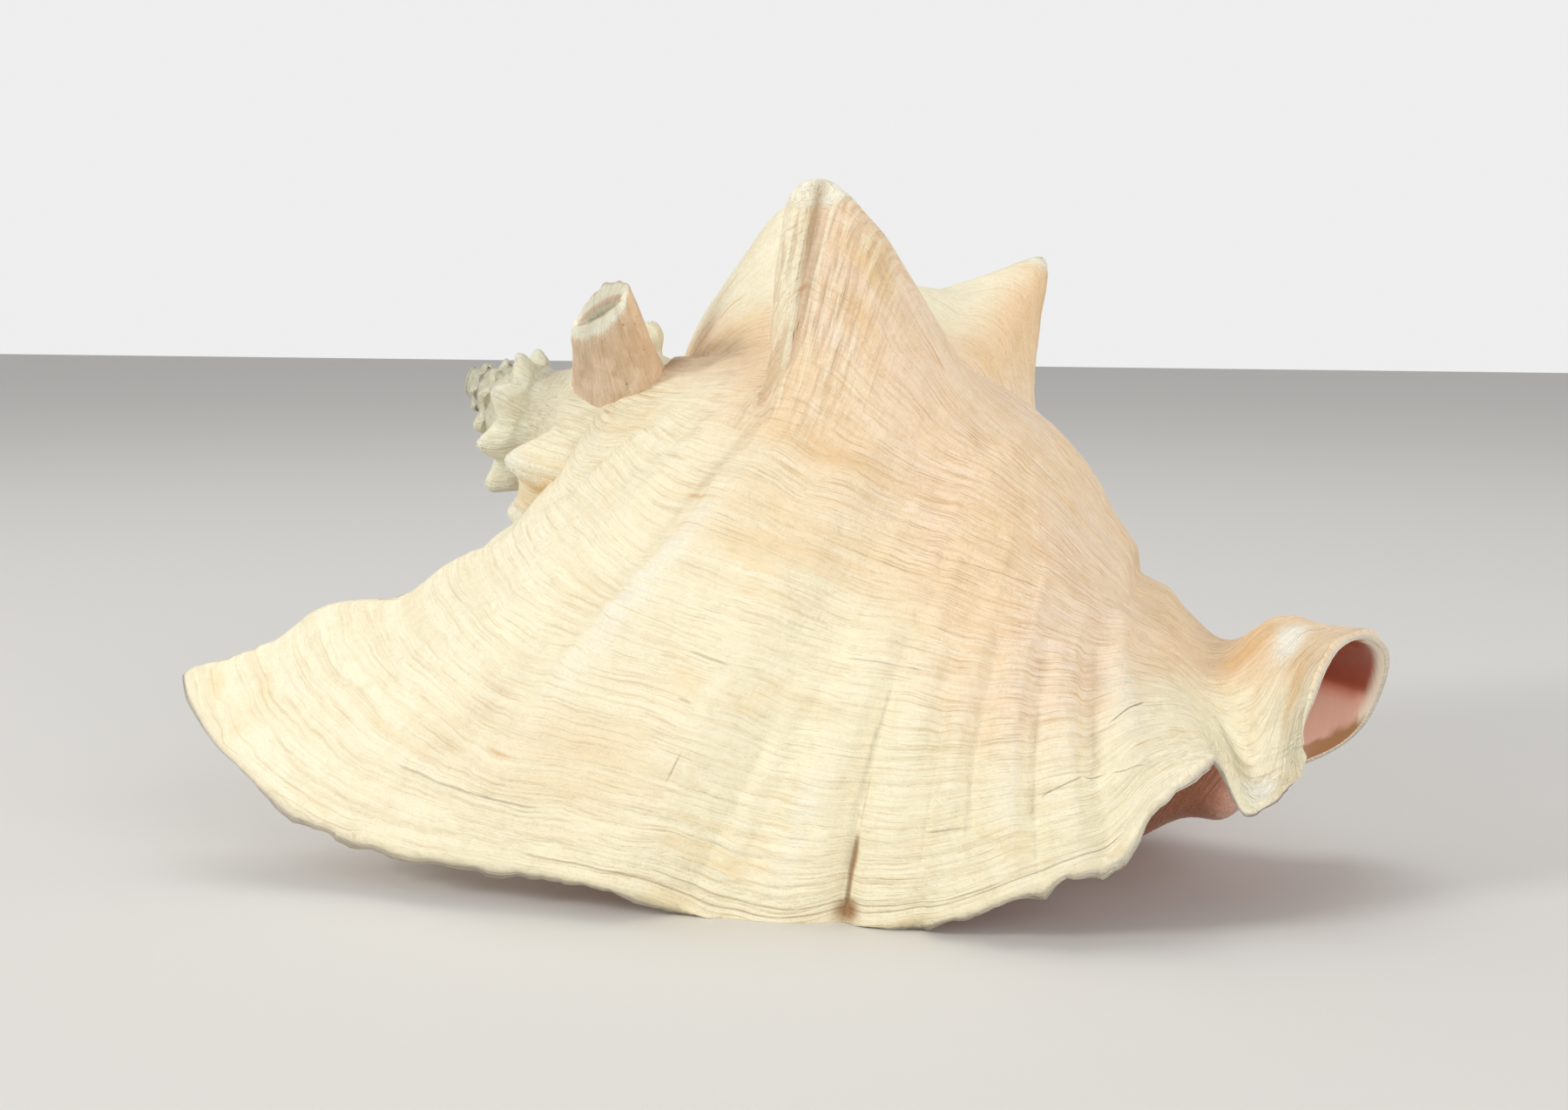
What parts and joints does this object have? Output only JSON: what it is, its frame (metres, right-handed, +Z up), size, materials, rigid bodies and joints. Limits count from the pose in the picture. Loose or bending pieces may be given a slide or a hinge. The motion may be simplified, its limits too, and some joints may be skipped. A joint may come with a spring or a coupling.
{
  "type": "conch shell",
  "caption": "Adult queen conch shell with a knobbed spire, long shoulder spines, a broad flared lip and a siphonal canal, lying on its aperture.",
  "frame": {"origin": "centre of the bounding box's base, on the surface that the shell lies on", "axes": "+X towards the siphonal canal, -X towards the spire, -Y towards the flared lip, +Z up"},
  "size_m": [0.2476, 0.1767, 0.1448],
  "materials": {
    "conch_shell": "weathered cream and peach shell outside, smooth pink inside"
  },
  "bodies": {
    "root": {"shell": "conch_shell"}
  },
  "joints": []
}
